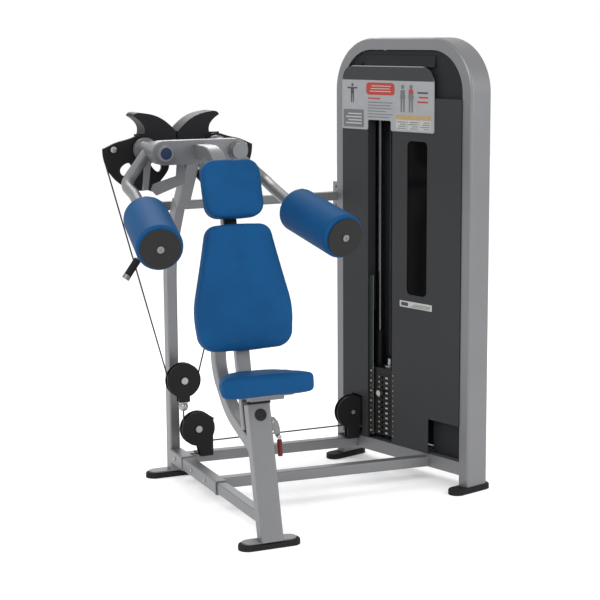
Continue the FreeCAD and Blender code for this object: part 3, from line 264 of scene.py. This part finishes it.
LINEN = flat("print_light", (0.36, 0.36, 0.35))
STRIP = flat("strip_dark", (0.010, 0.018, 0.014))
SMOKE = smoked()

BY_SLOT = {
    "steel_paint": SILVER, "black_rubber": RUBBER, "black_plastic": PLASTIC, "charcoal_panel": CHARCOAL,
    "blue_vinyl": BLUE, "bright_steel": BRIGHT, "black_metal": BLACK, "cable_black": CABLE, "red_grip": RED,
    "label_print": WHITE, "smoked_window": SMOKE, "blue_plug": PLUG,
}
SLOT = {s["node"]: s["material_slot"] for s in frame["record"]["subparts"]}
SPECIAL = {"pivot_covers": COVER, "guide_rods": CHROME, "placard": PAPER, "tower_hood": HOOD_PAINTED_SHADE}
for name, ob in N.items():
    ob.data.materials.clear()
    ob.data.materials.append(SPECIAL.get(name, BY_SLOT[SLOT[name]]))

# ---------------- helpers for new pieces ----------------


def link(name, mesh):
    ob = bpy.data.objects.new(name, mesh)
    scene.collection.objects.link(ob)
    return ob


def apply_all(ob):
    bpy.context.view_layer.objects.active = ob
    for o in bpy.context.selected_objects:
        o.select_set(False)
    ob.select_set(True)
    for m in list(ob.modifiers):
        bpy.ops.object.modifier_apply(modifier=m.name)


def smooth(ob):
    for p in ob.data.polygons:
        p.use_smooth = True


def tube(name, pts, r, mat, sides=14):
    bm = bmesh.new()
    rings = []
    pts = [Vector(p) for p in pts]
    for i, p in enumerate(pts):
        d = (pts[min(i + 1, len(pts) - 1)] - pts[max(i - 1, 0)]).normalized()
        side = Vector((0, 1, 0)) if abs(d.y) < 0.9 else Vector((1, 0, 0))
        a = d.cross(side).normalized()
        b = d.cross(a)
        turns = [k * math.tau / sides for k in range(sides)]
        rings.append([bm.verts.new(p + r * (a * math.cos(w) + b * math.sin(w))) for w in turns])
    for i in range(len(rings) - 1):
        for k in range(sides):
            q = (k + 1) % sides
            bm.faces.new((rings[i][k], rings[i][q], rings[i + 1][q], rings[i + 1][k]))
    bm.faces.new(rings[0][::-1])
    bm.faces.new(rings[-1])
    bmesh.ops.recalc_face_normals(bm, faces=bm.faces)
    me = bpy.data.meshes.new(name)
    bm.to_mesh(me)
    bm.free()
    ob = link(name, me)
    smooth(ob)
    me.materials.append(mat)
    return ob


# ---------------- soft goods ----------------
CLOTH_FRAMES = 20
CLOTH_START_SCALE = 0.985
CLOTH_TRAVEL_CAP = 0.0045


def soft_pad(node, body, voxel, pressure):
    src = N[node]
    ob = link("soft_" + node, src.data.copy())
    lo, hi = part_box(node)
    centre = (lo + hi) / 2
    rem = ob.modifiers.new("remesh", "REMESH")
    rem.mode = "VOXEL"
    rem.voxel_size = voxel
    apply_all(ob)
    rest = [v.co.copy() for v in ob.data.vertices]
    for v in ob.data.vertices:
        v.co = centre + (v.co - centre) * CLOTH_START_SCALE
    cl = ob.modifiers.new("cloth", "CLOTH")
    s = cl.settings
    s.quality = 5
    s.mass = 0.3
    s.tension_stiffness = 40
    s.compression_stiffness = 40
    s.shear_stiffness = 20
    s.bending_stiffness = 6
    s.use_pressure = True
    s.uniform_pressure_force = pressure
    s.effector_weights.gravity = 0
    s.air_damping = 3
    cl.point_cache.frame_start = 1
    cl.point_cache.frame_end = CLOTH_FRAMES
    for f in range(1, CLOTH_FRAMES + 1):
        scene.frame_set(f)
    apply_all(ob)
    scene.frame_set(1)
    drift = sum((v.co for v in ob.data.vertices), Vector()) / len(rest) - sum(rest, Vector()) / len(rest)
    for v, r in zip(ob.data.vertices, rest):
        d = (v.co - drift) - r
        if d.length > CLOTH_TRAVEL_CAP:
            d = d * (CLOTH_TRAVEL_CAP / d.length)
        v.co = r + d
    sm = ob.modifiers.new("smooth", "SMOOTH")
    sm.factor = 0.5
    sm.iterations = 6
    sub = ob.modifiers.new("sub", "SUBSURF")
    sub.levels = 1
    sub.render_levels = 1
    apply_all(ob)
    smooth(ob)
    ob.data.materials.clear()
    ob.data.materials.append(BLUE)
    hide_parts(node)
    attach(ob, body)


soft_pad("back_pad", "frame", 0.006, 4.0)
soft_pad("head_pad", "frame", 0.005, 4.0)
soft_pad("seat_cushion", "seat", 0.006, 4.0)
soft_pad("left_roller_pad", "left_roller", 0.005, 3.0)
soft_pad("right_roller_pad", "right_roller", 0.005, 3.0)

# ---------------- cables that change length ----------------
CABLE_R = 0.003
SPAN_STEPS = 40


def span(node, low, high):
    pts = [low + (high - low) * (i / SPAN_STEPS) for i in range(SPAN_STEPS + 1)]
    ob = tube("span_" + node, pts, CABLE_R, CABLE)
    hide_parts(node)
    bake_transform(ob)


for side in ("left", "right"):
    lo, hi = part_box(side + "_cam_cable")
    mid_y = (lo.y + hi.y) / 2
    outer_x, inner_x = lo.x + CABLE_R, hi.x - CABLE_R
    if side == "right":
        outer_x, inner_x = inner_x, outer_x
    top = Vector((outer_x, mid_y, hi.z))
    low = Vector((inner_x, mid_y, lo.z))
    span(side + "_cam_cable", low, top)


def upright_ends(lo, hi):
    mid = (lo + hi) / 2
    return Vector((mid.x, mid.y, lo.z)), Vector((mid.x, mid.y, hi.z))


low, high = upright_ends(*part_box("drop_cable"))
span("drop_cable", low, high)
low, high = upright_ends(*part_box("stack_cable"))
span("stack_cable", low, high)

# ---------------- tower print ----------------
# u runs across the tower and v through it, both in millimetres from the tower's foot
MM = 0.001
PLATE_PITCH = 20
FIRST_MARK_Z = 142
STRIP_MARKS = 13
FIRST_PLATE_Z = 132
PLATE_MIDDLE = 9.7
TURN = math.radians(16.5)
T0 = Vector((0.9433, 0.3109, 0.0))
XT = Vector((math.cos(TURN), math.sin(TURN), 0.0))
YT = Vector((-math.sin(TURN), math.cos(TURN), 0.0))


def tp(u, v, z):
    return T0 + XT * (v * MM) + YT * (u * MM) + Vector((0, 0, z * MM))


class Print:
    """Flat shapes a fraction of a millimetre proud of a tower face, as one mesh."""

    def __init__(self, name, v, mats):
        self.name, self.v, self.mats, self.faces = name, v, mats, []

    def poly(self, pts, mat, lift=0.0):
        self.faces.append((pts, mat, lift))

    def rect(self, u0, u1, z0, z1, mat, lift=0.0):
        self.poly([(u1, z0), (u0, z0), (u0, z1), (u1, z1)], mat, lift)

    def rounded(self, u0, u1, z0, z1, r, mat, lift=0.0, corners=(1, 1, 1, 1)):
        pts = []
        for (cu, cz, a0), on in zip(((u0 + r, z0 + r, 180), (u1 - r, z0 + r, 270), (u1 - r, z1 - r, 0),
                                     (u0 + r, z1 - r, 90)), corners):
            if not on:
                pts.append((cu + (r if a0 in (270, 0) else -r), cz + (r if a0 in (0, 90) else -r)))
                continue
            for k in range(9):
                a = math.radians(a0 + k * 90 / 8)
                pts.append((cu + r * math.cos(a), cz + r * math.sin(a)))
        self.poly(pts, mat, lift)

    def disc(self, u, z, r, mat, lift=0.0):
        turns = [k * math.tau / 16 for k in range(16)]
        self.poly([(u + r * math.cos(w), z + r * math.sin(w)) for w in turns], mat, lift)

    def figure(self, u, z, h, mat, lift=0.0, arms=0.5):
        s = h / 10.0
        self.disc(u, z + 9.1 * s, 0.85 * s, mat, lift)
        self.rounded(u - 1.2 * s, u + 1.2 * s, z + 4.6 * s, z + 8.0 * s, 0.5 * s, mat, lift)
        for sg in (-1, 1):
            self.poly([(u + sg * 0.15 * s, z + 4.7 * s), (u + sg * 1.15 * s, z + 4.7 * s),
                       (u + sg * 1.05 * s, z), (u + sg * 0.35 * s, z)][::sg], mat, lift + 0.02)
            ex, ez = u + sg * (1.2 + 2.6 * arms) * s, z + (7.6 - 3.2 * (1 - arms)) * s
            self.poly([(u + sg * 1.0 * s, z + 7.9 * s), (u + sg * 1.0 * s, z + 7.1 * s),
                       (ex, ez - 0.3 * s), (ex, ez + 0.5 * s)][::-sg], mat, lift + 0.01)

    def build(self, body):
        bm = bmesh.new()
        for pts, mat, lift in self.faces:
            vs = [bm.verts.new(tp(u, self.v - lift, z)) for u, z in pts]
            f = bm.faces.new(vs)
            f.material_index = self.mats.index(mat)
            f.normal_update()
            if f.normal.dot(XT) > 0:
                f.normal_flip()
        me = bpy.data.meshes.new(self.name)
        bm.to_mesh(me)
        bm.free()
        for m in self.mats:
            me.materials.append(m)
        ob = link(self.name, me)
        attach(ob, body)


FACE = -56.0
art = Print("placard_print", FACE - 3.5, [HEADER, PAPER, MIDGREY, INK, PILL, AMBER, LINEN])
art.rounded(146, 643, 1511, 1562, 50, HEADER, 0.0, (0, 0, 1, 1))
art.figure(587, 1424, 74, INK, 0.15, 1.0)
art.rounded(522, 638, 1331, 1398, 5, MIDGREY, 0.1)
for i in range(4):
    art.rect(534, 624 - 14 * (i % 2), 1343 + i * 12, 1348 + i * 12, LINEN, 0.25)
art.rounded(352, 508, 1456, 1502, 14, PILL, 0.15)
for i in range(3):
    art.rect(372 + 6 * (i % 2), 488 - 5 * i, 1468 + 10 * i, 1471 + 10 * i, LINEN, 0.3)
art.rect(430, 498, 1440, 1445, PILL, 0.15)
for i, (a0, b0) in enumerate(((362, 500), (372, 500), (362, 500), (400, 500), (362, 500), (380, 500))):
    art.rect(a0, b0, 1426 - i * 11, 1429 - i * 11, MIDGREY, 0.15)
for u in (308, 264):
    art.figure(u, 1396, 102, MIDGREY, 0.15, 0.1)
art.rounded(252, 276, 1464, 1480, 4, PILL, 0.35)
for i in range(3):
    art.rect(174, 230 - 8 * (i % 2), 1466 - i * 17, 1472 - i * 17, PILL if i > 0 else INK, 0.15)
for j in range(3):
    u1 = 344 - j * 63
    art.rect(u1 - 59, u1, 1370, 1384, AMBER, 0.2)
    art.rect(u1 - 59, u1, 1330, 1368, LINEN, 0.15)
    for i in range(4):
        art.rect(u1 - 54, u1 - 6 - 8 * ((i + j) % 3), 1334 + i * 8, 1337 + i * 8, MIDGREY, 0.3)
art.build("frame")

tag = Print("serial_print", FACE - 1.5, [WHITE, INK, MIDGREY])
tag.rounded(276, 314, 665, 679, 5, INK, 0.1)
for i in range(3):
    tag.rect(158, 262 - 9 * i, 664 + 5 * i, 666 + 5 * i, MIDGREY, 0.1)
tag.build("frame")

strip = Print("number_strip_print", FACE + 4.9, [STRIP, PILL, WHITE, AMBER])
strip.rect(477.5, 501.4, 127.5, 760.5, STRIP)
for i in range(STRIP_MARKS):
    z = FIRST_MARK_Z + i * PLATE_PITCH
    strip.disc(489, z, 3.4, PILL if i % 2 else WHITE, 0.2)
strip.build("frame")

edge_dots = Print("panel_edge_marks", FACE - 0.4, [AMBER, WHITE])
for i in range(STRIP_MARKS):
    edge_dots.disc(359, FIRST_MARK_Z + i * PLATE_PITCH, 2.2, AMBER if i % 3 else WHITE)
edge_dots.build("frame")

for body, rows in (("frame", range(0, 8)), ("stack", range(8, 12))):
    marks = Print("plate_marks_" + body, -42.4, [AMBER, WHITE, LINEN])
    for i in rows:
        z = FIRST_PLATE_Z + i * PLATE_PITCH + PLATE_MIDDLE
        marks.disc(452, z, 3.0, AMBER if i % 2 else WHITE)
        marks.rect(403, 416, z - 3, z + 3, LINEN)
    marks.build(body)

# ---------------- bolt heads ----------------
# each row of a domed head: share of its radius, share of its height
DOME_ROWS = ((1.0, 0.0), (1.0, 0.45), (0.93, 0.72), (0.72, 0.93), (0.38, 1.0))


def domed(name, centre, axis, r, h, mat, body, sides=24):
    axis = Vector(axis).normalized()
    side = axis.orthogonal().normalized()
    other = axis.cross(side)
    bm = bmesh.new()
    rows = []
    turns = [i * math.tau / sides for i in range(sides)]
    for rr, hh in DOME_ROWS:
        base = Vector(centre) + axis * (h * hh)
        spokes = [side * math.cos(w) + other * math.sin(w) for w in turns]
        rows.append([bm.verts.new(base + spoke * (r * rr)) for spoke in spokes])
    for low, high in zip(rows, rows[1:]):
        for i in range(sides):
            j = (i + 1) % sides
            bm.faces.new((low[i], low[j], high[j], high[i]))
    bm.faces.new(rows[-1])
    bm.faces.new(rows[0][::-1])
    bmesh.ops.recalc_face_normals(bm, faces=bm.faces)
    me = bpy.data.meshes.new(name)
    bm.to_mesh(me)
    bm.free()
    me.materials.append(mat)
    ob = link(name, me)
    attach(ob, body)


for side, sx in (("left", -1), ("right", 1)):
    domed("cam_anchor_" + side, (sx * 0.254, 0.818, 1.278), (0, -1, 0), 0.0115, 0.004, BRIGHT,
          side + "_arm_body")
for i, (x, y, z, ax) in enumerate(((-0.022, 0.560, 0.085, -1), (-0.022, 0.700, 0.085, -1),
                                   (-0.025, 0.880, 0.085, -1))):
    domed("sleeve_bolt_%d" % i, (x, y, z), (ax, 0, 0), 0.0075, 0.004, BRIGHT, "frame")

# ---------------- camera, light, floor ----------------
AZ = math.radians(23.656)
PITCH = math.radians(9.5745)
ROLL = math.radians(-0.378)
CAMERA_AT = Vector((-1.9635, -4.7516, 1.7003))
SENSOR_MM = 36.0
LENS_MM = 96.05
fwd = Vector((math.sin(AZ) * math.cos(PITCH), math.cos(AZ) * math.cos(PITCH), -math.sin(PITCH)))
right = fwd.cross(Vector((0, 0, 1))).normalized()
up = right.cross(fwd).normalized()
right_r = right * math.cos(ROLL) + up * math.sin(ROLL)
up_r = up * math.cos(ROLL) - right * math.sin(ROLL)
cam_data = bpy.data.cameras.new("camera")
cam_data.sensor_width = SENSOR_MM
cam_data.lens = LENS_MM
cam = bpy.data.objects.new("camera", cam_data)
scene.collection.objects.link(cam)
cam.matrix_world = Matrix((
    (right_r.x, up_r.x, -fwd.x, CAMERA_AT.x),
    (right_r.y, up_r.y, -fwd.y, CAMERA_AT.y),
    (right_r.z, up_r.z, -fwd.z, CAMERA_AT.z),
    (0, 0, 0, 1),
))
scene.camera = cam

world = bpy.data.worlds.new("studio")
scene.world = world
world.use_nodes = True
bg = world.node_tree.nodes.get("Background")
bg.inputs["Color"].default_value = (1.0, 1.0, 1.0, 1)
bg.inputs["Strength"].default_value = 1.0


def area(name, loc, aim, size, power):
    d = bpy.data.lights.new(name, "AREA")
    d.shape = "DISK"
    d.size = size
    d.energy = power
    o = bpy.data.objects.new(name, d)
    scene.collection.objects.link(o)
    o.location = loc
    o.rotation_euler = (Vector(aim) - Vector(loc)).to_track_quat("-Z", "Y").to_euler()


area("key", (-2.6, -2.8, 4.2), (0.3, 0.4, 0.7), 2.4, 115)
area("fill", (3.6, -3.0, 2.4), (0.4, 0.4, 0.8), 2.6, 45)
area("rim", (0.6, 3.6, 3.2), (0.4, 0.4, 0.9), 2.2, 60)

FLOOR_HALF_WIDTH = 14.0
fm, ft, fb = new_mat("floor")
fn = noise(ft, coords(ft), 3.0, 2.0)
floor_tint = ramp(ft, fn, [(0.3, (0.90, 0.90, 0.90, 1)), (0.7, (0.92, 0.92, 0.92, 1))])
ft.links.new(floor_tint, fb.inputs["Base Color"])
fb.inputs["Roughness"].default_value = 0.85
fb.inputs["Specular IOR Level"].default_value = 0.1
fb.inputs["Emission Color"].default_value = (1.0, 1.0, 1.0, 1)
fb.inputs["Emission Strength"].default_value = 0.16
bm = bmesh.new()
bmesh.ops.create_grid(bm, x_segments=2, y_segments=2, size=FLOOR_HALF_WIDTH)
fl = bpy.data.meshes.new("floor")
bm.to_mesh(fl)
bm.free()
fl.materials.append(fm)
floor = link("floor", fl)
scene.view_settings.view_transform = "Standard"
